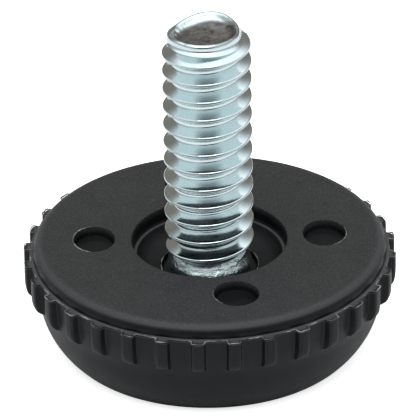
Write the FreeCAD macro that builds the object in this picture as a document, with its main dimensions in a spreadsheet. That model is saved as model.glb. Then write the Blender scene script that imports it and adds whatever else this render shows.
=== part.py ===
import FreeCAD, Part
import math
import os
import Sketcher

# Furniture leveling foot: a headed #10-24 steel stud moulded into a round,
# finger-ribbed plastic base.
# Frame: +Z up along the stud, origin on the stud's axis at the floor, front of
# the foot towards -Y. Millimetres and degrees.

SIZES = (
    # moulded base
    ("base_height", 5.9, "floor to the flat top"),
    ("foot_inset", 1.4, "resting ring inside the lower body, on the radius"),
    ("dish_diameter", 9.0, "shallow hollow under the middle"),
    ("dish_depth", 0.3, "depth of that hollow"),
    ("lower_inset", 0.38, "lower body inside the rib valleys, on the radius"),
    ("lower_step", 0.05, "ribs' lower ends down to the rounded lower body"),
    ("edge_radius", 0.6, "rounding of the top edge"),
    ("parting_depth", 0.73, "top face down to the parting line"),
    ("parting_step", 0.15, "upper wall inside the rib valleys, on the radius"),
    # finger ribs
    ("knurl_diameter", 19.96, "over the ribs"),
    ("rib_count", 32, "ribs round the rim"),
    ("rib_rise", 0.4, "rib above its valleys"),
    ("rib_width", 0.72, "rib across its face"),
    ("rib_length", 1.85, "rib from the parting line down"),
    ("rib_end_radius", 0.5, "rounded lower end of a rib"),
    ("rib_root", 0.5, "rib carried inside the wall"),
    ("rib_phase", -4.1, "turn of the first rib from +X"),
    # recess round the stud, from the shank hole outwards
    ("shank_gap", 0.53, "shank to the hole round it, on the radius"),
    ("floor_width", 0.62, "recess floor, on the radius"),
    ("hollow_run", 0.68, "curved wall below the ledge, on the radius"),
    ("ledge_width", 0.17, "flat ledge above the curved wall"),
    ("recess_draft", 0.1, "taper of the upper wall, on the radius"),
    ("ledge_depth", 0.83, "top face down to the ledge"),
    ("hollow_drop", 0.59, "curved wall below the ledge, in height"),
    ("hollow_radius", 0.75, "curve of that wall"),
    ("floor_drop", 0.18, "foot of that wall down to the rim of the shank hole"),
    # dimples left by the core pins
    ("dimple_diameter", 2.35, "mouth of a dimple"),
    ("dimple_depth", 0.6, "depth of a dimple"),
    ("dimple_corner", 0.25, "rounding inside a dimple"),
    ("dimple_land", 0.825, "flat between the recess and a dimple"),
    ("right_dimple_angle", 3.5, "turn from +X"),
    ("back_dimple_angle", 100.0, "turn from +X"),
    ("left_dimple_angle", 179.3, "turn from +X"),
    ("front_dimple_angle", 283.0, "turn from +X"),
    # steel stud
    ("sole_thickness", 1.2, "plastic under the head, from the floor up"),
    ("web_thickness", 0.5, "plastic between recess floor and head"),
    ("head_across_flats", 7.94, "hexagon head"),
    ("crest_diameter", 4.73, "thread over its crests"),
    ("thread_depth", 0.585, "crest to root, on the radius"),
    ("turn_gap", 0.075, "steel between turns where the groove section is widest"),
    ("thread_pitch", 1.0583, "24 threads to the inch"),
    ("thread_angle", 60.0, "between the two flanks"),
    ("thread_start", 0.36, "top face down to the groove's start at +X"),
    ("crest_overrun", 0.05, "groove section carried past the crests"),
    ("shank_relief", 0.315, "plain shank below the crests, on the radius"),
    ("runout_high", 0.15, "top face down to the last full crest"),
    ("runout_low", 0.75, "top face down to the plain shank"),
    ("stud_projection", 12.6, "stud above the flat top"),
    ("end_taper", 0.85, "height of the tapered thread end"),
    ("end_relief", 0.455, "rim of the stud's end below the crests, on the radius"),
    ("rim_width", 0.36, "rim round the cup in the stud's end"),
    ("cup_slope", 0.7, "sloping wall of that cup, on the radius"),
    ("cup_depth", 0.3, "depth of that cup"),
)

doc = FreeCAD.newDocument("leveling_foot")
sheet = doc.addObject("Spreadsheet::Sheet", "sizes")
for row, (alias, value, note) in enumerate(SIZES, start=1):
    sheet.set("A%d" % row, note)
    sheet.set("B%d" % row, str(value))
    sheet.setAlias("B%d" % row, alias)
doc.recompute()

# Heights and radii that several outlines share, as formulas of the sheet's names.
DISC = "knurl_diameter/2 - rib_rise"
PARTING = "base_height - parting_depth"
UPPER_WALL = DISC + " - parting_step"
RIB_BOTTOM = PARTING + " - rib_length"
LOWER_WALL = DISC + " - lower_inset"
SHANK = "crest_diameter/2 - shank_relief"
SHANK_HOLE = SHANK + " + shank_gap"
HOLLOW_INNER = SHANK_HOLE + " + floor_width"
LEDGE_INNER = HOLLOW_INNER + " + hollow_run"
LEDGE_OUTER = LEDGE_INNER + " + ledge_width"
RECESS = LEDGE_OUTER + " + recess_draft"
DIMPLE_CENTRE = RECESS + " + dimple_land + dimple_diameter/2"
LEDGE = "base_height - ledge_depth"
HOLLOW_FOOT = LEDGE + " - hollow_drop"
FLOOR = HOLLOW_FOOT + " - floor_drop"
HEAD_TOP = FLOOR + " - web_thickness"
STUD_END = "base_height + stud_projection"
THREAD_ROOT = "crest_diameter/2 - thread_depth"
THREAD_START = "base_height - thread_start"


def number(formula):
    # Value of a formula such as "base_height - dish_diameter/2".
    total = 0.0
    sign = 1
    for word in formula.split():
        if word in ("+", "-"):
            sign = 1 if word == "+" else -1
        elif word != "0":
            name, _, divisor = word.partition("/")
            total += sign * float(sheet.get(name)) / float(divisor or 1)
    return total


def expression(formula):
    # The same formula as an expression that follows the sheet.
    words = [word if word in ("+", "-", "0") else "sizes." + word for word in formula.split()]
    return " ".join(words)


def origin_feature(body, role):
    return next(item for item in body.Origin.OriginFeatures if item.Role == role)


def new_sketch(body, name, role, lift="0", turn="0"):
    # lift raises a sketch on the XY plane; turn swings an upright one about Z.
    sketch = body.newObject("Sketcher::SketchObject", name)
    sketch.AttachmentSupport = [(origin_feature(body, role), "")]
    sketch.MapMode = "FlatFace"
    spin_axis = FreeCAD.Vector(0, 1, 0)
    sketch.AttachmentOffset = FreeCAD.Placement(
        FreeCAD.Vector(0, 0, number(lift)),
        FreeCAD.Rotation(spin_axis, number(turn)),
    )
    if lift != "0":
        sketch.setExpression("AttachmentOffset.Base.z", expression(lift))
    if turn != "0":
        sketch.setExpression("AttachmentOffset.Rotation.Angle", expression(turn))
    return sketch


def arc_middle(start, end, radius, turns_left):
    # Point halfway along the arc between two points.
    chord = end - start
    half = chord.Length / 2
    rise = radius - math.sqrt(radius * radius - half * half)
    outward = FreeCAD.Vector(chord.y, -chord.x, 0).normalize()
    return (start + end) * 0.5 + outward * (rise if turns_left else -rise)


def upright_radius(start, end):
    # Radius of the arc between two points that ends upright.
    run = end.x - start.x
    rise = end.y - start.y
    return (run * run + rise * rise) / (2 * run)


def draw_outline(sketch, corners):
    # Closed outline. A corner is (across, up), and (across, up, radius, side)
    # where an arc of that radius leaves it, curving to its left or right. The
    # radius "upright" makes the arc end upright, whatever its radius.
    points = [FreeCAD.Vector(number(corner[0]), number(corner[1]), 0) for corner in corners]
    starts = []
    for index, corner in enumerate(corners):
        start = points[index]
        end = points[(index + 1) % len(points)]
        if len(corner) == 2:
            edge = sketch.addGeometry(Part.LineSegment(start, end), False)
        else:
            upright = corner[2] == "upright"
            radius = upright_radius(start, end) if upright else number(corner[2])
            middle = arc_middle(start, end, radius, corner[3] == "left")
            edge = sketch.addGeometry(Part.Arc(start, middle, end), False)
        # an arc that curves right is stored from its far end
        starts.append(1 if sketch.getPoint(edge, 1).isEqual(start, 1e-6) else 2)
    for edge, corner in enumerate(corners):
        previous = edge - 1 if edge else len(corners) - 1
        previous_end = 3 - starts[previous]
        sketch.addConstraint(
            Sketcher.Constraint("Coincident", previous, previous_end, edge, starts[edge]))
        hold(sketch, "DistanceX", (-1, 1, edge, starts[edge]), corner[0])
        hold(sketch, "DistanceY", (-1, 1, edge, starts[edge]), corner[1])
        if len(corner) > 2 and corner[2] == "upright":
            following = corners[(edge + 1) % len(corners)]
            hold(sketch, "DistanceY", (-1, 1, edge, 3), following[1])
        elif len(corner) > 2:
            hold(sketch, "Radius", (edge,), corner[2])


def hold(sketch, kind, where, formula):
    # A dimension that follows the sheet.
    index = sketch.addConstraint(Sketcher.Constraint(kind, *where, number(formula)))
    if formula != "0":
        sketch.setExpression("Constraints[%d]" % index, expression(formula))


def draw_hexagon(sketch, across_flats):
    # Regular hexagon about the origin with a corner on +X.
    corner_radius = number(across_flats) / 2 / math.cos(math.radians(30))
    corners = []
    for index in range(6):
        angle = math.radians(60 * index)
        corners.append(
            FreeCAD.Vector(corner_radius * math.cos(angle), corner_radius * math.sin(angle), 0))
    for index in range(6):
        sketch.addGeometry(Part.LineSegment(corners[index], corners[(index + 1) % 6]), False)
    circle = sketch.addGeometry(
        Part.Circle(FreeCAD.Vector(0, 0, 0), FreeCAD.Vector(0, 0, 1), corner_radius), True)
    sketch.addConstraint(Sketcher.Constraint("Coincident", circle, 3, -1, 1))
    for index in range(6):
        following = (index + 1) % 6
        sketch.addConstraint(Sketcher.Constraint("Coincident", index, 2, following, 1))
        sketch.addConstraint(Sketcher.Constraint("PointOnObject", index, 1, circle))
        if index:
            sketch.addConstraint(Sketcher.Constraint("Equal", 0, index))
    sketch.addConstraint(Sketcher.Constraint("PointOnObject", 0, 1, -1))
    size = sketch.addConstraint(Sketcher.Constraint("Radius", circle, corner_radius))
    sketch.setExpression(
        "Constraints[%d]" % size, "sizes.%s / 2 / cos(30 deg)" % across_flats)


def turned_solid(body, name, corners):
    # Solid of revolution about Z from an outline in the XZ plane.
    sketch = new_sketch(body, name + "_outline", "XZ_Plane")
    draw_outline(sketch, corners)
    doc.recompute()
    solid = body.newObject("PartDesign::Revolution", name)
    solid.Profile = sketch
    solid.ReferenceAxis = (sketch, ["V_Axis"])
    solid.Angle = 360
    doc.recompute()
    return solid


def new_body(name):
    body = doc.addObject("PartDesign::Body", name)
    body.Label = name
    body.Placement = FreeCAD.Placement()
    doc.recompute()
    return body


def make_base():
    body = new_body("knurled_base")
    turned_solid(body, "base_turned", (
        ("0", "dish_depth"),
        ("dish_diameter/2", "dish_depth"),
        ("dish_diameter/2 + dish_depth", "0"),
        (LOWER_WALL + " - foot_inset", "0", "upright", "left"),
        (LOWER_WALL, RIB_BOTTOM + " - lower_step"),
        (DISC, PARTING),
        (UPPER_WALL, PARTING),
        (UPPER_WALL, "base_height - edge_radius", "edge_radius", "left"),
        (UPPER_WALL + " - edge_radius", "base_height"),
        (RECESS, "base_height"),
        (LEDGE_OUTER, LEDGE),
        (LEDGE_INNER, LEDGE, "hollow_radius", "right"),
        (HOLLOW_INNER, HOLLOW_FOOT),
        (SHANK_HOLE, FLOOR),
        (SHANK_HOLE, HEAD_TOP),
        ("0", HEAD_TOP),
    ))
    add_ribs(body)
    for side in ("right", "back", "left", "front"):
        cut_dimple(body, side)
    cut_head_pocket(body)
    return body


def add_ribs(body):
    # One flat-topped rib with a rounded lower end, repeated round the rim.
    sketch = new_sketch(body, "rib_side", "XZ_Plane", turn="rib_phase")
    inside = DISC + " - rib_root"
    draw_outline(sketch, (
        (inside, RIB_BOTTOM),
        ("knurl_diameter/2 - rib_end_radius", RIB_BOTTOM, "rib_end_radius", "left"),
        ("knurl_diameter/2", RIB_BOTTOM + " + rib_end_radius"),
        ("knurl_diameter/2", PARTING),
        (inside, PARTING),
    ))
    doc.recompute()
    rib = body.newObject("PartDesign::Pad", "rib")
    rib.Profile = sketch
    rib.Midplane = True
    rib.setExpression("Length", "sizes.rib_width")
    doc.recompute()
    ring = body.newObject("PartDesign::PolarPattern", "rib_ring")
    ring.Originals = [rib]
    ring.Axis = (origin_feature(body, "Z_Axis"), [""])
    ring.Angle = 360
    ring.setExpression("Occurrences", "sizes.rib_count")
    body.Tip = ring
    doc.recompute()


def cut_dimple(body, side):
    # Round blind hole with a rounded floor, turned about its own upright axis.
    sketch = new_sketch(body, side + "_dimple_outline", "XZ_Plane", turn=side + "_dimple_angle")
    middle = DIMPLE_CENTRE
    wall = middle + " + dimple_diameter/2"
    floor = "base_height - dimple_depth"
    draw_outline(sketch, (
        (middle, floor),
        (wall + " - dimple_corner", floor, "dimple_corner", "left"),
        (wall, floor + " + dimple_corner"),
        (wall, "base_height + dimple_depth"),
        (middle, "base_height + dimple_depth"),
    ))
    axis = sketch.addGeometry(
        Part.LineSegment(
            FreeCAD.Vector(number(middle), number(floor), 0),
            FreeCAD.Vector(number(middle), number("base_height + dimple_depth"), 0)),
        True)
    sketch.addConstraint(Sketcher.Constraint("Coincident", axis, 1, 0, 1))
    sketch.addConstraint(Sketcher.Constraint("Coincident", axis, 2, 4, 1))
    doc.recompute()
    dimple = body.newObject("PartDesign::Groove", side + "_dimple")
    dimple.Profile = sketch
    dimple.ReferenceAxis = (sketch, ["Axis0"])
    dimple.Angle = 360
    body.Tip = dimple
    doc.recompute()


def cut_head_pocket(body):
    # The plastic follows the hexagon head on every side.
    sketch = new_sketch(body, "head_pocket_outline", "XY_Plane", lift=HEAD_TOP)
    draw_hexagon(sketch, "head_across_flats")
    doc.recompute()
    pocket = body.newObject("PartDesign::Pocket", "head_pocket")
    pocket.Profile = sketch
    pocket.Type = 0
    pocket.setExpression("Length", expression(HEAD_TOP + " - sole_thickness"))
    pocket.Reversed = False
    body.Tip = pocket
    doc.recompute()


def make_stud():
    body = new_body("threaded_stud")
    end_rim = "crest_diameter/2 - end_relief"
    cup = end_rim + " - rim_width"
    turned_solid(body, "stud_turned", (
        ("0", "sole_thickness"),
        (SHANK, "sole_thickness"),
        (SHANK, "base_height - runout_low"),
        ("crest_diameter/2", "base_height - runout_high"),
        ("crest_diameter/2", STUD_END + " - end_taper"),
        (end_rim, STUD_END),
        (cup, STUD_END),
        (cup + " - cup_slope", STUD_END + " - cup_depth"),
        ("0", STUD_END + " - cup_depth"),
    ))
    cut_thread(body)
    add_head(body)
    return body


def cut_thread(body):
    # Right-hand groove with a flat root and straight flanks, from the run-out
    # up past the stud's end.
    sketch = new_sketch(body, "thread_section", "XZ_Plane")
    outer_low = THREAD_START + " - thread_pitch/2 + turn_gap/2"
    outer_high = THREAD_START + " + thread_pitch/2 - turn_gap/2"
    depth = number("thread_depth + crest_overrun")
    flare = depth * math.tan(math.radians(number("thread_angle/2")))
    root = number(THREAD_ROOT)
    points = (
        FreeCAD.Vector(root, number(outer_low) + flare, 0),
        FreeCAD.Vector(root + depth, number(outer_low), 0),
        FreeCAD.Vector(root + depth, number(outer_high), 0),
        FreeCAD.Vector(root, number(outer_high) - flare, 0),
    )
    for index in range(4):
        sketch.addGeometry(Part.LineSegment(points[index], points[(index + 1) % 4]), False)
    for index in range(4):
        sketch.addConstraint(Sketcher.Constraint("Coincident", index, 2, (index + 1) % 4, 1))
    for line, up in ((1, outer_low), (2, outer_high)):
        hold(sketch, "DistanceX", (-1, 1, line, 1), "crest_diameter/2 + crest_overrun")
        hold(sketch, "DistanceY", (-1, 1, line, 1), up)
    for line in (0, 3):
        hold(sketch, "DistanceX", (-1, 1, line, 1), THREAD_ROOT)
    sketch.addConstraint(Sketcher.Constraint("Equal", 0, 2))
    angle = sketch.addConstraint(
        Sketcher.Constraint("Angle", 0, 1, 2, 2, math.radians(number("thread_angle"))))
    sketch.setExpression("Constraints[%d]" % angle, "sizes.thread_angle")
    doc.recompute()
    groove = body.newObject("PartDesign::SubtractiveHelix", "thread_groove")
    groove.Profile = sketch
    groove.ReferenceAxis = (sketch, ["V_Axis"])
    groove.Mode = 0
    groove.LeftHanded = False
    groove.Reversed = False
    groove.setExpression("Pitch", "sizes.thread_pitch")
    groove.setExpression(
        "Height", expression("thread_start + stud_projection + thread_pitch"))
    body.Tip = groove
    doc.recompute()


def add_head(body):
    sketch = new_sketch(body, "head_outline", "XY_Plane", lift="sole_thickness")
    draw_hexagon(sketch, "head_across_flats")
    doc.recompute()
    head = body.newObject("PartDesign::Pad", "hexagon_head")
    head.Profile = sketch
    head.setExpression("Length", expression(HEAD_TOP + " - sole_thickness"))
    body.Tip = head
    doc.recompute()


def check_document():
    for item in doc.Objects:
        for fault in ("Invalid", "Error"):
            if fault in item.State:
                raise RuntimeError("%s is %s" % (item.Name, fault))


def write_parts(bodies):
    check_document()
    os.makedirs("parts", exist_ok=True)
    for body in bodies:
        shape = body.Shape
        if shape.isNull() or not shape.isValid():
            raise RuntimeError(body.Label + " has no valid shape")
        print("%-14s solids %d  volume %.2f mm3" % (
            body.Label, len(shape.Solids), shape.Volume))
        shape.exportStep("parts/%s.step" % body.Label)


write_parts((make_base(), make_stud()))
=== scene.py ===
import bpy
import math
import random
from mathutils import Matrix, Vector


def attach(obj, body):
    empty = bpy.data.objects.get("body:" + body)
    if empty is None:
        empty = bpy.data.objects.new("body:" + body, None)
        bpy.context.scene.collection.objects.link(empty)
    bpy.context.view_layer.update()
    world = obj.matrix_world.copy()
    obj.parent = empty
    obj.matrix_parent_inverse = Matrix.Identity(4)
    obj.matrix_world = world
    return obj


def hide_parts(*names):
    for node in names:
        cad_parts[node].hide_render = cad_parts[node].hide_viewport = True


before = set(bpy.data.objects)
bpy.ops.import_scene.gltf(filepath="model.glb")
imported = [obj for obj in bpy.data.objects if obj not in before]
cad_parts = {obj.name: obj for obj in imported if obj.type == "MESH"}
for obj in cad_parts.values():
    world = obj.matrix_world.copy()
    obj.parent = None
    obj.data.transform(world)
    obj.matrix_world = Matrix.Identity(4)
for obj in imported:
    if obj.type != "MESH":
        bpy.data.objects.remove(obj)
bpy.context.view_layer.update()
mm = 0.001
turn = 2 * math.pi


# selecting and shaping, shared by both pieces

def deselectAll():
    if bpy.context.object and bpy.context.object.mode != "OBJECT":
        bpy.ops.object.mode_set(mode="OBJECT")
    bpy.ops.object.select_all(action="DESELECT")


def activate(piece):
    deselectAll()
    piece.select_set(True)
    bpy.context.view_layer.objects.active = piece


def editMode(kind="VERT"):
    bpy.ops.object.mode_set(mode="EDIT")
    bpy.ops.mesh.select_mode(type=kind)


def pickOnly(chosen, others, rule):
    for items in others:
        for item in items:
            item.select = False
    for item in chosen:
        item.select = rule(item)


def pickVerts(piece, rule):
    # leaves edit mode on, with just the vertices that the rule names selected
    bpy.ops.object.mode_set(mode="OBJECT")
    mesh = piece.data
    pickOnly(mesh.vertices, (mesh.polygons, mesh.edges), rule)
    editMode("VERT")


def pickFaces(piece, rule):
    # the same for faces
    bpy.ops.object.mode_set(mode="OBJECT")
    mesh = piece.data
    pickOnly(mesh.polygons, (mesh.vertices, mesh.edges), rule)
    editMode("FACE")


def applyModifier(piece, kind, **settings):
    activate(piece)
    modifier = piece.modifiers.new(kind.lower(), kind)
    for key, value in settings.items():
        setattr(modifier, key, value)
    bpy.ops.object.modifier_apply(modifier=modifier.name)


def joinPieces(first, others):
    deselectAll()
    for other in others:
        other.select_set(True)
    first.select_set(True)
    bpy.context.view_layer.objects.active = first
    bpy.ops.object.join()


def combine(piece, other, operation):
    # one boolean with the exact solver; the other shape is used up
    applyModifier(piece, "BOOLEAN", object=other, operation=operation, solver="EXACT")
    bpy.data.objects.remove(other, do_unlink=True)


def dropToOrigin(piece):
    activate(piece)
    bpy.ops.object.transform_apply(location=True, rotation=True, scale=True)


def closeEnds(piece, heights):
    # each open end ring is drawn in to its middle
    activate(piece)
    for height in heights:
        editMode("EDGE")
        bpy.ops.mesh.select_all(action="DESELECT")
        bpy.ops.mesh.select_mode(type="EDGE")
        bpy.ops.mesh.select_non_manifold(extend=False)
        bpy.ops.object.mode_set(mode="OBJECT")
        chosen = {v.index for v in piece.data.vertices
                  if v.select and abs(v.co.z - height * mm) < 0.02 * mm}
        pickVerts(piece, lambda v: v.index in chosen)
        bpy.ops.mesh.select_mode(type="EDGE")
        bpy.ops.mesh.extrude_edges_move()
        bpy.ops.mesh.merge(type="CENTER")
        bpy.ops.object.mode_set(mode="OBJECT")
    editMode()
    bpy.ops.mesh.select_all(action="SELECT")
    bpy.ops.mesh.normals_make_consistent(inside=False)
    bpy.ops.object.mode_set(mode="OBJECT")


def turnRings(name, segments, rings, startAngle=0.0, capEnds=True):
    # a turned shape by hand: one circle, extruded ring by ring and scaled to each radius
    deselectAll()
    radius, height = rings[0]
    bpy.ops.mesh.primitive_circle_add(
        vertices=segments, radius=radius * mm, location=(0, 0, height * mm),
        rotation=(0, 0, startAngle))
    piece = bpy.context.object
    piece.name = name
    dropToOrigin(piece)
    editMode("EDGE")
    bpy.ops.mesh.select_all(action="SELECT")
    for nextRadius, nextHeight in rings[1:]:
        rise = (nextHeight - height) * mm
        bpy.ops.mesh.extrude_edges_move(TRANSFORM_OT_translate={"value": (0, 0, rise)})
        factor = nextRadius / radius
        bpy.ops.transform.resize(value=(factor, factor, 1), center_override=(0, 0, 0))
        radius, height = nextRadius, nextHeight
    bpy.ops.object.mode_set(mode="OBJECT")
    if capEnds:
        closeEnds(piece, (rings[0][1], rings[-1][1]))
    return piece


def arcRings(centreRadius, centreHeight, radius, fromAngle, toAngle, count):
    # points on an arc in the section, both ends included, angles in degrees
    rings = []
    for step in range(count):
        angle = math.radians(fromAngle + (toAngle - fromAngle) * step / (count - 1))
        rings.append((centreRadius + radius * math.cos(angle),
                      centreHeight + radius * math.sin(angle)))
    return rings


# the moulded base

base = {
    "ribs": 32,
    "segmentsPerRib": 8,
    "ribSegments": 3,
    "ribPhase": -4.1,            # degrees, middle of the first rib
    "partingHeight": 5.17,
    "ribBottom": 3.2,
    "ribProfile": [(5.17, 9.93), (5.02, 9.945), (4.55, 9.945), (4.1, 9.94), (3.75, 9.91),
                   (3.5, 9.83), (3.33, 9.68), (3.2, 9.42)],
    "valleyProfile": [(3.2, 9.335), (3.33, 9.37), (3.5, 9.415), (3.75, 9.47), (4.1, 9.52),
                      (4.55, 9.555), (5.02, 9.575), (5.17, 9.58)],
    # each dimple: angle, distance from the axis, half width on the radius and along the ring
    "dimples": [(3.5, 6.15, 1.17, 1.40), (100, 6.15, 1.2, 1.3), (179.3, 6.15, 1.13, 1.36),
                (283, 6.05, 1.32, 1.22)],
    "dimpleDepth": 0.6,
    "topHeight": 5.9,
    # the section as (radius, height): sole, rounded flank, wall, top face, recess
    "soleOutline": [(1.4, 0.3), (4.3, 0.3), (4.5, 0.3), (4.58, 0.25), (4.72, 0.06), (4.8, 0.0),
                    (4.98, 0.0), (7.55, 0.0), (7.72, 0.0)],
    "flankArc": (4.956, 3.15, 4.244, -47.9, -10, 8),
    "flankTop": [(9.2, 2.75), (9.285, 3.04)],
    "wallOutline": [(9.55, 5.178), (9.45, 5.18), (9.43, 5.195), (9.43, 5.23), (9.43, 5.29)],
    "edgeArc": (8.83, 5.3, 0.6, 10, 90, 6),
    "topOutline": [(8.6, 5.9), (7.4, 5.9), (6.15, 5.9), (4.9, 5.9), (4.32, 5.9), (4.21, 5.9),
                   (4.16, 5.885), (4.145, 5.84), (4.13, 5.7), (4.06, 5.2), (4.052, 5.1),
                   (4.035, 5.072), (3.99, 5.07), (3.92, 5.07), (3.88, 5.055)],
    "recessOutline": [(3.82, 4.93), (3.71, 4.78), (3.56, 4.64), (3.38, 4.53), (3.2, 4.465),
                      (2.95, 4.4), (2.72, 4.34), (2.62, 4.31), (2.585, 4.27), (2.58, 4.12),
                      (2.56, 3.99), (2.48, 3.95), (2.2, 3.94), (2.09, 3.93), (2.06, 3.9),
                      (2.055, 3.7)],
    "flashThickness": 0.045,
    "flashSeed": 11,
    "rimFlashThickness": 0.05,
    "rimFlashSeed": 5,
    "holeFlash": (2.6, 4.31),    # radius and height
    # torn crescents at dimples: dimple, from and to angle, points
    "crescents": [(2, -80, 82, 30), (0, -75, 20, 20), (3, -115, -50, 14)],
    "creaseAngle": 35,           # degrees
}


def baseRings():
    rings = list(base["soleOutline"])
    rings += arcRings(*base["flankArc"])
    rings += base["flankTop"]
    rings += [(radius, height) for height, radius in base["valleyProfile"]]
    rings += base["wallOutline"]
    rings += arcRings(*base["edgeArc"])
    rings += base["topOutline"] + base["recessOutline"]
    return rings


def raiseRibs(piece):
    # the ribs are drawn out of the wall, then each level is scaled to the rib's outline
    pitch = 360 / base["ribs"]
    halfRib = pitch * base["ribSegments"] / base["segmentsPerRib"] / 2
    low = base["ribBottom"] * mm
    high = base["partingHeight"] * mm
    wallRadius = 9.2 * mm        # less than any valley's, more than the recess's

    def onRib(face):
        centre = face.center
        if not low < centre.z < high or math.hypot(centre.x, centre.y) < wallRadius:
            return False
        angle = math.degrees(math.atan2(centre.y, centre.x)) - base["ribPhase"]
        offset = (angle + pitch / 2) % pitch - pitch / 2
        return abs(offset) < halfRib

    activate(piece)
    pickFaces(piece, onRib)
    bpy.ops.mesh.extrude_region_move()
    bpy.ops.object.mode_set(mode="OBJECT")
    raised = {v.index for v in piece.data.vertices if v.select}
    valleys = dict(base["valleyProfile"])
    for height, radius in base["ribProfile"]:
        factor = radius / valleys[height]
        level = height * mm
        pickVerts(piece, lambda v: v.index in raised and abs(v.co.z - level) < 2e-6)
        bpy.ops.transform.resize(value=(factor, factor, 1), center_override=(0, 0, 0))
    bpy.ops.object.mode_set(mode="OBJECT")


def addBead(name, spots, thickness, seed, spread):
    # a thin uneven bead of moulding flash along a run of spots, as a closed tube
    rng = random.Random(seed)
    curve = bpy.data.curves.new(name, "CURVE")
    curve.dimensions = "3D"
    curve.bevel_depth = thickness * mm
    curve.bevel_resolution = 1
    curve.use_fill_caps = True
    for run, closed in spots:
        spline = curve.splines.new("POLY")
        spline.points.add(len(run) - 1)
        spline.use_cyclic_u = closed
        swell = 0.6
        for point, spot in zip(spline.points, run):
            swell += rng.uniform(-0.35, 0.35) + (0.55 - swell) * 0.25
            swell = min(1.0, max(0.12, swell))
            point.co = (spot[0] * mm, spot[1] * mm,
                        (spot[2] + rng.uniform(-spread, spread)) * mm, 1)
            point.radius = swell
    bead = bpy.data.objects.new(name, curve)
    bpy.context.collection.objects.link(bead)
    activate(bead)
    bpy.ops.object.convert(target="MESH")
    return bpy.context.object


def partingRun():
    # the outline of ribs and valleys at the parting height
    run = []
    pitch = 360 / base["ribs"]
    step = pitch / base["segmentsPerRib"] / 2
    half = pitch * base["ribSegments"] / base["segmentsPerRib"] / 2
    height = base["partingHeight"] - 0.005
    for rib in range(base["ribs"]):
        middle = base["ribPhase"] + rib * pitch
        marks = [(-half, 9.60), (-half + 0.05, 9.76), (-half + 0.32, 9.91),
                 (-half * 0.5, 9.935), (0, 9.935), (half * 0.5, 9.935),
                 (half - 0.32, 9.91), (half - 0.05, 9.76), (half, 9.60)]
        valleyMarks = int((pitch - 2 * half) / step)
        marks += [(half + step * (k + 1), 9.575) for k in range(valleyMarks - 1)]
        for offset, radius in marks:
            angle = math.radians(middle + offset)
            run.append((radius * math.cos(angle), radius * math.sin(angle), height))
    return run


def arcRun(centre, halfWidths, fromAngle, toAngle, count, height, turned=0.0):
    # spots round an oval, or part of one, at one height
    run = []
    c, s = math.cos(turned), math.sin(turned)
    for step in range(count):
        angle = math.radians(fromAngle + (toAngle - fromAngle) * step / (count - 1))
        x, y = halfWidths[0] * math.cos(angle), halfWidths[1] * math.sin(angle)
        run.append((centre[0] + x * c - y * s, centre[1] + x * s + y * c, height))
    return run


def dimplePlace(index):
    degrees, distance, wide, long = base["dimples"][index]
    angle = math.radians(degrees)
    return (distance * math.cos(angle), distance * math.sin(angle)), (wide, long), angle


def cutDimplesAndPocket(piece):
    depth, top = base["dimpleDepth"], base["topHeight"]
    cutters = []
    for index in range(len(base["dimples"])):
        (x, y), (wide, long), angle = dimplePlace(index)
        cutter = turnRings("dimpleCutter", 48, [
            (0.3, top - depth), (0.86, top - depth), (0.93, top - depth + 0.03),
            (0.965, top - depth + 0.1), (0.985, top - 0.06), (0.995, top - 0.015),
            (1.02, top + 0.02), (1.03, top + 0.3)])
        editMode()
        bpy.ops.mesh.select_all(action="SELECT")
        bpy.ops.transform.resize(value=(wide, long, 1), center_override=(0, 0, 0))
        bpy.ops.transform.rotate(value=-angle, orient_axis="Z", center_override=(0, 0, 0))
        bpy.ops.transform.translate(value=(x * mm, y * mm, 0))
        bpy.ops.object.mode_set(mode="OBJECT")
        cutters.append(cutter)
    corner = stud["headCorner"]
    pocket = turnRings("pocket", 6, [(corner, stud["headBottom"]), (corner, stud["headTop"])])
    cutters.append(pocket)
    for cutter in cutters:
        combine(piece, cutter, "DIFFERENCE")


def makeBase():
    segments = base["ribs"] * base["segmentsPerRib"]
    # a segment line lies half a rib from the rib's middle
    start = math.radians(base["ribPhase"] + 360 / segments * base["ribSegments"] / 2)
    rings = baseRings()
    piece = turnRings("leveling_base", segments, rings, start, capEnds=False)
    raiseRibs(piece)
    applyModifier(piece, "SUBSURF", levels=1, render_levels=1)
    closeEnds(piece, (rings[0][1], rings[-1][1]))
    cutDimplesAndPocket(piece)
    activate(piece)
    bpy.ops.object.shade_smooth_by_angle(angle=math.radians(base["creaseAngle"]))
    piece.data.materials.clear()
    piece.data.materials.append(plasticMaterial())
    flash = addBead("flash", [(partingRun(), True)], base["flashThickness"],
                    base["flashSeed"], 0.02)
    flash.data.materials.append(flashMaterial())
    holeRadius, holeHeight = base["holeFlash"]
    rims = [(arcRun((0, 0), (holeRadius, holeRadius), 0, 352, 110, holeHeight), True)]
    for index, fromAngle, toAngle, count in base["crescents"]:
        centre, halfWidths, angle = dimplePlace(index)
        crescent = arcRun(centre, halfWidths, fromAngle, toAngle, count,
                          base["topHeight"] - 0.005, angle)
        rims.append((crescent, False))
    rimFlash = addBead("rimFlash", rims, base["rimFlashThickness"], base["rimFlashSeed"], 0.012)
    rimFlash.data.materials.append(flash.data.materials[0])
    joinPieces(piece, [flash, rimFlash])
    return piece


# the plated stud

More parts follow.
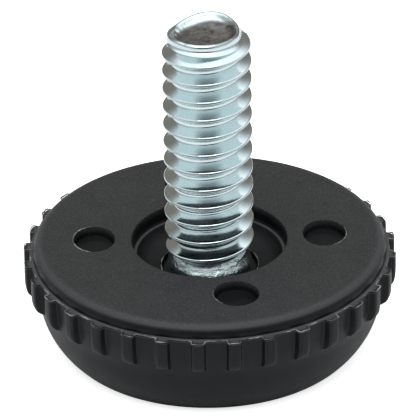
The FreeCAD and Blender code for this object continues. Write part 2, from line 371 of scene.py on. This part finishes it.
stud = {
    "pitch": 1.0583,
    "crest": 2.365,
    "root": 1.78,
    "crestHeight": 6.069,        # a crest's height on the +X side
    "steps": 96,
    "turns": 16,
    "threadFrom": 3.6,
    "threadTo": 18.9,
    # the tooth: the crest's rounding, each flank step's drop and slope, the root's fillet
    "crestRounding": [(0.014, 0.010), (0.004, 0.026), (0, 0.046), (0.009, 0.067),
                      (0.030, 0.083), (0.052, 0.094)],
    "crestHollow": 0.018,
    "flankSteps": [(0.03, 0.34), (0.05, 0.40), (0.07, 0.46), (0.08, 0.53), (0.08, 0.60),
                   (0.07, 0.67), (0.05, 0.74)],
    "rootFillet": [(0.10, 0.70), (0.24, 0.42), (0.42, 0.20), (0.64, 0.06), (1.0, 0.0)],
    # outlines as (radius, height)
    "shankOutline": [(2.6, 3.2), (2.6, 4.85), (2.1, 5.05), (1.5, 5.45)],
    "plugOutline": [(1.5, 17.74), (2.4, 18.07), (2.4, 18.8)],
    "footOutline": [(2.05, 3.5), (2.05, 4.3), (2.12, 4.42), (2.2, 4.55), (2.24, 4.68),
                    (2.21, 4.78), (2.14, 4.88), (2.07, 4.98), (2.01, 5.08), (1.96, 5.17),
                    (1.94, 5.24), (1.96, 5.3), (2.03, 5.37), (2.12, 5.44), (2.24, 5.54)],
    "crestOutline": [(2.34, 5.66), (2.37, 5.75), (2.372, 5.9), (2.372, 17.55), (2.35, 17.72)],
    "endOutline": [(2.24, 17.88), (2.08, 18.0), (1.98, 18.08), (1.95, 18.16), (1.95, 18.26),
                   (1.93, 18.35), (1.87, 18.42), (1.79, 18.44), (1.72, 18.42), (1.66, 18.35),
                   (1.6, 18.26), (1.52, 18.18), (1.4, 18.13), (1.2, 18.1), (0.95, 18.08),
                   (0.7, 18.07), (0.45, 18.06), (0.2, 18.06)],
    # pushes on the cropped end: place, move, reach; it dips at the back left
    "endPushes": [((-1.45, 1.05), (0, 0, -0.34), 1.9), ((-1.7, -0.3), (0, 0, -0.10), 1.2),
                  ((0.95, 1.55), (0, 0, 0.03), 1.2), ((1.75, -0.4), (0, 0, -0.06), 1.0),
                  ((0.2, 0.0), (0, 0, -0.06), 1.3), ((0.5, 1.85), (0.15, 0.03, 0.01), 1.5)],
    "endShift": (-0.15, 0.16, 0),
    "endStretch": 1.08,          # of its back half
    "hollowRadius": 1.45,        # of the dish inside the rolled rim
    "headCorner": 4.584,
    "headChamfer": (0.16, 0.12),
    "headBottom": 1.2,
    "headTop": 3.8,
    "creaseAngle": 40,           # degrees
}


def threadProfile():
    # half a tooth from the crest down to the root, then mirrored; the flanks are a little hollow
    half = stud["pitch"] / 2
    crest, root = stud["crest"], stud["root"]
    side = [(crest - drop, offset) for drop, offset in stud["crestRounding"]]
    radius, offset = side[-1]
    for drop, slope in stud["flankSteps"]:
        radius, offset = radius - drop, offset + drop * slope
        side.append((radius, offset))
    reach, fall = half - offset, radius - root
    for share, depth in stud["rootFillet"]:
        side.append((root + fall * depth, offset + reach * share))
    lower = [(radius, -offset) for radius, offset in reversed(side)]
    return lower + [(crest - stud["crestHollow"], 0.0)] + side


def makeThread():
    # one tooth's outline, drawn point by point from a single edge, then screwed upwards
    deselectAll()
    profile = threadProfile()
    startHeight = stud["crestHeight"] - 3 * stud["pitch"]
    bpy.ops.mesh.primitive_plane_add(size=mm, location=(0, 0, 0))
    piece = bpy.context.object
    piece.name = "plated_stud"
    editMode()
    bpy.ops.mesh.select_all(action="SELECT")
    bpy.ops.mesh.merge(type="CENTER")
    radius, height = 0.0, 0.0
    for index, (nextRadius, offset) in enumerate(profile):
        nextHeight = startHeight + offset
        move = ((nextRadius - radius) * mm, 0, (nextHeight - height) * mm)
        if index == 0:
            bpy.ops.transform.translate(value=move)
        else:
            bpy.ops.mesh.extrude_vertices_move(TRANSFORM_OT_translate={"value": move})
        radius, height = nextRadius, nextHeight
    bpy.ops.object.mode_set(mode="OBJECT")
    applyModifier(piece, "SCREW", angle=turn, screw_offset=stud["pitch"] * mm,
                  iterations=stud["turns"], steps=stud["steps"],
                  render_steps=stud["steps"], axis="Z",
                  use_merge_vertices=False, use_smooth_shade=True)
    editMode()
    bpy.ops.mesh.select_all(action="SELECT")
    bpy.ops.mesh.remove_doubles(threshold=1e-6)
    for height, outer in ((stud["threadFrom"], False), (stud["threadTo"], True)):
        bpy.ops.mesh.select_all(action="SELECT")
        bpy.ops.mesh.bisect(plane_co=(0, 0, height * mm), plane_no=(0, 0, 1),
                            clear_inner=not outer, clear_outer=outer)
    bpy.ops.mesh.select_all(action="SELECT")
    bpy.ops.mesh.fill_holes(sides=0)
    bpy.ops.mesh.select_all(action="SELECT")
    bpy.ops.mesh.normals_make_consistent(inside=False)
    bpy.ops.mesh.flip_normals()
    bpy.ops.object.mode_set(mode="OBJECT")
    return piece


def pushNear(piece, place, move, reach):
    # a soft push on the cropped end, as with proportional editing by hand
    x, y = place
    nearest = min((v for v in piece.data.vertices if v.co.z > 17.9 * mm),
                  key=lambda v: math.hypot(v.co.x - x * mm, v.co.y - y * mm)).index
    pickVerts(piece, lambda v: v.index == nearest)
    bpy.ops.transform.translate(
        value=tuple(part * mm for part in move), use_proportional_edit=True,
        proportional_edit_falloff="SMOOTH", proportional_size=reach * mm)
    bpy.ops.object.mode_set(mode="OBJECT")


def roughen(piece, rule, offset, seed, normal):
    pickVerts(piece, rule)
    bpy.ops.transform.vertex_random(offset=offset * mm, seed=seed, normal=normal)
    bpy.ops.object.mode_set(mode="OBJECT")


def makeEnvelope():
    # the blank's outline: shank, run-out cone, crests, end taper, rolled rim and dished end
    rings = stud["footOutline"] + stud["crestOutline"] + stud["endOutline"]
    piece = turnRings("envelope", stud["steps"], rings)
    for place, move, reach in stud["endPushes"]:
        pushNear(piece, place, move, reach)
    # the end sits a little off the thread's centre, towards the back left
    endFoot = 17.95 * mm
    backFrom = 0.2 * mm
    pickVerts(piece, lambda v: v.co.z > endFoot)
    bpy.ops.transform.translate(value=tuple(part * mm for part in stud["endShift"]))
    pickVerts(piece, lambda v: v.co.z > endFoot and v.co.y > backFrom)
    bpy.ops.transform.resize(value=(1, stud["endStretch"], 1),
                             center_override=(0, backFrom, 18 * mm))
    # the foot is bruised where the plastic grips it
    roughen(piece, lambda v: 4.4 * mm < v.co.z < 5.5 * mm, 0.026, 14, 0.4)
    # and the dish and its rim are torn
    hollow = stud["hollowRadius"] * mm
    roughen(piece, lambda v: v.co.z > 17.6 * mm
            and 0.6 * mm < math.hypot(v.co.x, v.co.y) < hollow, 0.006, 4, 0.6)
    roughen(piece, lambda v: v.co.z > 18.12 * mm
            and math.hypot(v.co.x, v.co.y) > hollow, 0.006, 9, 0.5)
    return piece


def makeStud():
    piece = makeThread()
    # wider than the shank, because the envelope trims it; its cone fills the groove's foot
    shank = turnRings("shank", 80, stud["shankOutline"])
    combine(piece, shank, "UNION")
    # past the last crest the groove is pressed shut
    plug = turnRings("plug", 72, stud["plugOutline"])
    combine(piece, plug, "UNION")
    combine(piece, makeEnvelope(), "INTERSECT")
    corner = stud["headCorner"]
    inset, rise = stud["headChamfer"]
    head = turnRings("head", 6, [(corner - inset, stud["headBottom"]),
                                 (corner, stud["headBottom"] + rise),
                                 (corner, stud["headTop"])])
    combine(piece, head, "UNION")
    activate(piece)
    bpy.ops.object.shade_smooth_by_angle(angle=math.radians(stud["creaseAngle"]))
    piece.data.materials.clear()
    piece.data.materials.append(zincMaterial())
    return piece


# finishes

def newMaterial(name):
    material = bpy.data.materials.new(name)
    material.use_nodes = True
    tree = material.node_tree
    tree.nodes.clear()
    output = tree.nodes.new("ShaderNodeOutputMaterial")
    shader = tree.nodes.new("ShaderNodeBsdfPrincipled")
    tree.links.new(shader.outputs["BSDF"], output.inputs["Surface"])
    coords = tree.nodes.new("ShaderNodeTexCoord")
    return material, tree, shader, coords.outputs["Object"]


def noise(tree, place, scale, detail=3.0, roughness=0.55):
    node = tree.nodes.new("ShaderNodeTexNoise")
    node.inputs["Scale"].default_value = scale
    node.inputs["Detail"].default_value = detail
    node.inputs["Roughness"].default_value = roughness
    tree.links.new(place, node.inputs["Vector"])
    return node.outputs["Fac"]


def stretched(tree, place, scale):
    node = tree.nodes.new("ShaderNodeMapping")
    node.inputs["Scale"].default_value = scale
    tree.links.new(place, node.inputs["Vector"])
    return node.outputs["Vector"]


def remap(tree, value, fromLow, fromHigh, toLow, toHigh):
    node = tree.nodes.new("ShaderNodeMapRange")
    for socket, number in zip(("From Min", "From Max", "To Min", "To Max"),
                              (fromLow, fromHigh, toLow, toHigh)):
        node.inputs[socket].default_value = number
    tree.links.new(value, node.inputs["Value"])
    return node.outputs["Result"]


def sums(tree, kind, first, second):
    node = tree.nodes.new("ShaderNodeMath")
    node.operation = kind
    for socket, value in zip(node.inputs, (first, second)):
        if isinstance(value, (int, float)):
            socket.default_value = value
        else:
            tree.links.new(value, socket)
    return node.outputs[0]


def band(tree, value, riseFrom, riseTo, fallFrom, fallTo):
    # one between the two middle values, nothing outside the outer two
    return sums(tree, "MULTIPLY", remap(tree, value, riseFrom, riseTo, 0, 1),
                remap(tree, value, fallFrom, fallTo, 1, 0))


def splitPlace(tree, place):
    split = tree.nodes.new("ShaderNodeSeparateXYZ")
    tree.links.new(place, split.inputs[0])
    return split.outputs


def axisDistance(tree, x, y):
    squares = sums(tree, "ADD", sums(tree, "MULTIPLY", x, x), sums(tree, "MULTIPLY", y, y))
    return sums(tree, "SQRT", squares, 0.0)


def blendColours(tree, factor, first, second):
    node = tree.nodes.new("ShaderNodeMix")
    node.data_type = "RGBA"
    for socket, value in ((node.inputs[0], factor), (node.inputs[6], first),
                          (node.inputs[7], second)):
        if isinstance(value, tuple):
            socket.default_value = value + (1,)
        elif isinstance(value, (int, float)):
            socket.default_value = value
        else:
            tree.links.new(value, socket)
    return node.outputs[2]


def blendValues(tree, factor, first, second):
    node = tree.nodes.new("ShaderNodeMix")
    for index, value in ((0, factor), (2, first), (3, second)):
        tree.links.new(value, node.inputs[index])
    return node.outputs[0]


def bump(tree, height, strength, distance, normal=None):
    node = tree.nodes.new("ShaderNodeBump")
    node.inputs["Strength"].default_value = strength
    node.inputs["Distance"].default_value = distance
    tree.links.new(height, node.inputs["Height"])
    if normal:
        tree.links.new(normal, node.inputs["Normal"])
    return node.outputs["Normal"]


def plasticMaterial():
    material, tree, shader, place = newMaterial("moulded_nylon")
    mottle = noise(tree, place, 900, 4, 0.6)
    grain = noise(tree, place, 8500, 3, 0.65)
    broad = noise(tree, place, 260, 2)
    # the top face is grained and paler; walls, hollows and underside are smoother, and darkened
    # with painted shade
    x, y, height = splitPlace(tree, place)
    reach = axisDistance(tree, x, y)
    top = remap(tree, height, 0.00555, 0.00583, 0, 1)
    matte = blendColours(tree, remap(tree, mottle, 0.35, 0.65, 0, 1),
                         (0.0235, 0.0243, 0.0248), (0.0325, 0.0333, 0.0338))
    matte = blendColours(tree, remap(tree, broad, 0.35, 0.7, 0, 0.5), matte,
                         (0.0310, 0.0310, 0.0308))
    matte = blendColours(tree, remap(tree, grain, 0.50, 0.70, 0, 0.8), matte,
                         (0.058, 0.059, 0.060))
    matte = blendColours(tree, remap(tree, grain, 0.45, 0.30, 0, 0.6), matte,
                         (0.012, 0.012, 0.013))
    # painted shade: the smoother walls, hollows and underside get a much darker colour
    smoothAndPaintedShade = blendColours(tree, remap(tree, mottle, 0.35, 0.65, 0, 1),
                          (0.0058, 0.0065, 0.0070), (0.0096, 0.0106, 0.0112))
    # painted highlight: the ledge in the recess and the one at the parting height are painted
    # paler where they catch the light
    paintedLedgeHighlight = sums(tree, "MAXIMUM", band(tree, height, 0.005045, 0.005056, 0.005072, 0.005090),
                 band(tree, height, 0.005155, 0.005175, 0.005185, 0.005200))
    smoothAndPaintedShade = blendColours(tree, sums(tree, "MULTIPLY", paintedLedgeHighlight, 0.75), smoothAndPaintedShade,
                          (0.085, 0.087, 0.089))
    # painted shade: the wall just above the parting height, shaded by the ledge, is painted dark
    paintedWallShade = band(tree, height, 0.00520, 0.00522, 0.00550, 0.00566)
    smoothAndPaintedShade = blendColours(tree, sums(tree, "MULTIPLY", paintedWallShade, 0.7), smoothAndPaintedShade,
                          (0.002, 0.0022, 0.0024))
    tone = blendColours(tree, top, smoothAndPaintedShade, matte)
    # painted highlight: the rounded edge of the top face is painted paler
    paintedEdgeHighlight = sums(tree, "MULTIPLY", band(tree, height, 0.00562, 0.00572, 0.00584, 0.00590),
                remap(tree, reach, 0.00870, 0.00890, 0, 0.42))
    tone = blendColours(tree, paintedEdgeHighlight, tone, (0.080, 0.083, 0.085))
    # sparse dust, paler than the plastic
    specks = tree.nodes.new("ShaderNodeTexVoronoi")
    specks.inputs["Scale"].default_value = 900
    tree.links.new(place, specks.inputs["Vector"])
    dust = remap(tree, specks.outputs["Distance"], 0.05, 0.11, 1, 0)
    cluster = remap(tree, noise(tree, place, 420, 2), 0.52, 0.60, 0, 1)
    patch = sums(tree, "MULTIPLY", top, cluster)
    tone = blendColours(tree, sums(tree, "MULTIPLY", dust, patch), tone, (0.075, 0.075, 0.075))
    tree.links.new(tone, shader.inputs["Base Color"])
    dull = remap(tree, mottle, 0.3, 0.7, 0.50, 0.64)
    satin = remap(tree, mottle, 0.3, 0.7, 0.34, 0.46)
    tree.links.new(blendValues(tree, top, satin, dull), shader.inputs["Roughness"])
    shader.inputs["Specular IOR Level"].default_value = 0.19
    fine = bump(tree, grain, 0.8, 0.00002)
    tree.links.new(bump(tree, mottle, 0.3, 0.00005, fine), shader.inputs["Normal"])
    return material


def flashMaterial():
    material, tree, shader, place = newMaterial("torn_flash")
    broken = noise(tree, place, 1500, 3)
    tone = blendColours(tree, remap(tree, broken, 0.42, 0.62, 0, 1),
                        (0.06, 0.061, 0.062), (0.30, 0.305, 0.31))
    tree.links.new(tone, shader.inputs["Base Color"])
    tree.links.new(remap(tree, broken, 0.3, 0.7, 0.45, 0.65), shader.inputs["Roughness"])
    tree.links.new(bump(tree, noise(tree, place, 7000), 0.4, 0.00003), shader.inputs["Normal"])
    return material


def zincMaterial():
    material, tree, shader, place = newMaterial("zinc_plate")
    cloud = noise(tree, place, 700, 3, 0.6)
    # drawing marks run round the thread, so the pattern is squashed in height
    streaks = noise(tree, stretched(tree, place, (500, 500, 9000)), 1.0, 3, 0.6)
    pits = noise(tree, place, 5200, 2, 0.5)
    tone = blendColours(tree, remap(tree, cloud, 0.3, 0.7, 0, 1),
                        (0.61, 0.725, 0.745), (0.665, 0.765, 0.78))
    # the sheared end is bare, dull and brownish
    x, y, height = splitPlace(tree, place)
    reach = axisDistance(tree, x, y)
    inside = remap(tree, reach, 0.00155, 0.00172, 1, 0)
    flank = remap(tree, reach, 0.00215, 0.00230, 1, 0)
    above = remap(tree, height, 0.01760, 0.01770, 0, 1)
    cropped = sums(tree, "MULTIPLY", inside, above)
    bare = blendColours(tree, remap(tree, noise(tree, place, 1700, 4, 0.65), 0.35, 0.65, 0, 1),
                        (0.085, 0.072, 0.060), (0.27, 0.26, 0.25))
    tone = blendColours(tree, cropped, tone, bare)
    tree.links.new(tone, shader.inputs["Base Color"])
    shader.inputs["Metallic"].default_value = 1.0
    shine = remap(tree, cloud, 0.3, 0.7, 0.05, 0.11)
    rough = sums(tree, "ADD", shine, sums(tree, "MULTIPLY", flank, 0.06))
    rough = sums(tree, "ADD", rough, sums(tree, "MULTIPLY", cropped, 0.2))
    tree.links.new(rough, shader.inputs["Roughness"])
    relief = bump(tree, streaks, 0.10, 0.000008)
    relief = bump(tree, pits, 0.08, 0.000006, relief)
    # the cropped end and the bruised foot are rougher still
    foot = remap(tree, height, 0.00530, 0.00545, 1, 0)
    bruised = sums(tree, "MAXIMUM", cropped, sums(tree, "MULTIPLY", foot, 0.8))
    torn = sums(tree, "MULTIPLY", noise(tree, place, 3600, 4, 0.75), bruised)
    relief = bump(tree, torn, 1.0, 0.00007, relief)
    tree.links.new(relief, shader.inputs["Normal"])
    return material


# the studio

studio = {
    "elevation": 29.6,           # degrees above the floor
    "distance": 0.4,
    "lens": 650.8,
    "roll": 0.95,                # degrees
    "aim": (-0.00005, 0.0, 0.00774),
    "floorSize": 3.0,
    "tentColour": (0.55, 0.565, 0.58),
    "ceilingColour": (1.35, 1.37, 1.40),
    "behindColour": (0.25, 0.22, 0.20),
    "frontColour": (0.07, 0.075, 0.08),
    "keyWatts": 1.6,
    "keyPlace": (-0.05, -0.22, 0.7),
    "keySize": (0.45, 0.4),
    "paperGlow": 0.7,
}


def makeCamera():
    data = bpy.data.cameras.new("camera")
    camera = bpy.data.objects.new("camera", data)
    bpy.context.scene.collection.objects.link(camera)
    data.sensor_width = 36
    data.lens = studio["lens"]
    data.clip_start = 0.01
    data.clip_end = 10
    up = math.radians(studio["elevation"])
    back = Vector((0, -math.cos(up), math.sin(up)))
    camera.location = Vector(studio["aim"]) + back * studio["distance"]
    roll = Matrix.Rotation(-math.radians(studio["roll"]), 3, "Z").to_quaternion()
    camera.rotation_mode = "QUATERNION"
    camera.rotation_quaternion = (-back).to_track_quat("-Z", "Y") @ roll
    bpy.context.scene.camera = camera


def makeFloor():
    deselectAll()
    bpy.ops.mesh.primitive_plane_add(size=studio["floorSize"], location=(0, 0, 0))
    floor = bpy.context.object
    floor.name = "floor"
    material, tree, shader, place = newMaterial("paper")
    grain = noise(tree, place, 6, 2)
    seen = blendColours(tree, grain, (0.93, 0.93, 0.93), (0.95, 0.95, 0.95))
    # painted shade: the floor sends on only half the light it shows to the camera, which darkens
    # the object's lower faces
    dimBounce = blendColours(tree, grain, (0.48, 0.48, 0.48), (0.50, 0.50, 0.50))
    # a painted shadow on the floor just in front of the foot, seen only in what the polished
    # thread mirrors
    x, depth = splitPlace(tree, place)[:2]
    reach = axisDistance(tree, x, depth)
    light = tree.nodes.new("ShaderNodeLightPath")
    paintedShadowAhead = remap(tree, sums(tree, "DIVIDE", depth, reach), -0.66, -0.97, 0, 0.88)
    paintedShadowAhead = sums(tree, "MULTIPLY", paintedShadowAhead, remap(tree, reach, 0.015, 0.060, 1, 0.3))
    # only after two bounces, as between the flanks of the thread
    twice = remap(tree, light.outputs["Ray Depth"], 1.4, 1.6, 0, 1)
    paintedShadowAhead = sums(tree, "MULTIPLY", paintedShadowAhead, twice)
    mirrored = blendColours(tree, paintedShadowAhead, seen, (0.10, 0.12, 0.125))
    shade = blendColours(tree, light.outputs["Is Glossy Ray"], dimBounce, mirrored)
    shade = blendColours(tree, light.outputs["Is Camera Ray"], shade, seen)
    tree.links.new(shade, shader.inputs["Base Color"])
    # painted light: the paper glows for camera rays only, so the shadow on it stays faint
    shader.inputs["Emission Color"].default_value = (1, 1, 1, 1)
    glow = sums(tree, "MULTIPLY", light.outputs["Is Camera Ray"], studio["paperGlow"])
    tree.links.new(glow, shader.inputs["Emission Strength"])
    shader.inputs["Roughness"].default_value = 0.9
    floor.data.materials.append(material)


def areaLight(name, place, target, size, watts):
    data = bpy.data.lights.new(name, "AREA")
    data.shape = "RECTANGLE"
    data.size, data.size_y = size
    data.energy = watts
    light = bpy.data.objects.new(name, data)
    bpy.context.scene.collection.objects.link(light)
    light.location = place
    light.rotation_mode = "QUATERNION"
    aim = Vector(target) - Vector(place)
    light.rotation_quaternion = aim.to_track_quat("-Z", "Y")


def makeWorld():
    # a bright tent with a dim brownish band low behind the object
    world = bpy.data.worlds.new("studio")
    bpy.context.scene.world = world
    world.use_nodes = True
    tree = world.node_tree
    tree.nodes.clear()
    output = tree.nodes.new("ShaderNodeOutputWorld")
    background = tree.nodes.new("ShaderNodeBackground")
    tree.links.new(background.outputs[0], output.inputs["Surface"])
    coords = tree.nodes.new("ShaderNodeTexCoord")
    split = tree.nodes.new("ShaderNodeSeparateXYZ")
    tree.links.new(coords.outputs["Generated"], split.inputs[0])
    side, depth, height = split.outputs
    low = remap(tree, height, 0.45, 0.75, 1, 0)
    behind = sums(tree, "MULTIPLY", remap(tree, depth, 0.30, 0.70, 0, 1), low)
    middle = remap(tree, sums(tree, "ABSOLUTE", side, 0.0), 0.25, 0.60, 1, 0)
    front = sums(tree, "MULTIPLY", remap(tree, depth, -0.45, -0.80, 0, 1), low)
    front = sums(tree, "MULTIPLY", front, middle)
    high = remap(tree, height, 0.55, 0.80, 0, 1)
    tone = blendColours(tree, high, studio["tentColour"], studio["ceilingColour"])
    tone = blendColours(tree, behind, tone, studio["behindColour"])
    tone = blendColours(tree, front, tone, studio["frontColour"])
    tree.links.new(tone, background.inputs["Color"])
    background.inputs["Strength"].default_value = 1.0


def makeStudio():
    makeWorld()
    makeFloor()
    makeCamera()
    areaLight("key", studio["keyPlace"], (0, 0, 0.005), studio["keySize"], studio["keyWatts"])
    scene = bpy.context.scene
    scene.view_settings.view_transform = "Standard"
    scene.view_settings.look = "None"


makeStudio()
print("studio ready")

studPiece = makeStud()
print("stud made:", len(studPiece.data.polygons), "faces")

basePiece = makeBase()
print("base made:", len(basePiece.data.polygons), "faces")

for piece, node, slot in ((basePiece, "knurled_base", "base_plastic"),
                          (studPiece, "threaded_stud", "plated_steel")):
    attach(piece, "root")
    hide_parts(node)
deselectAll()
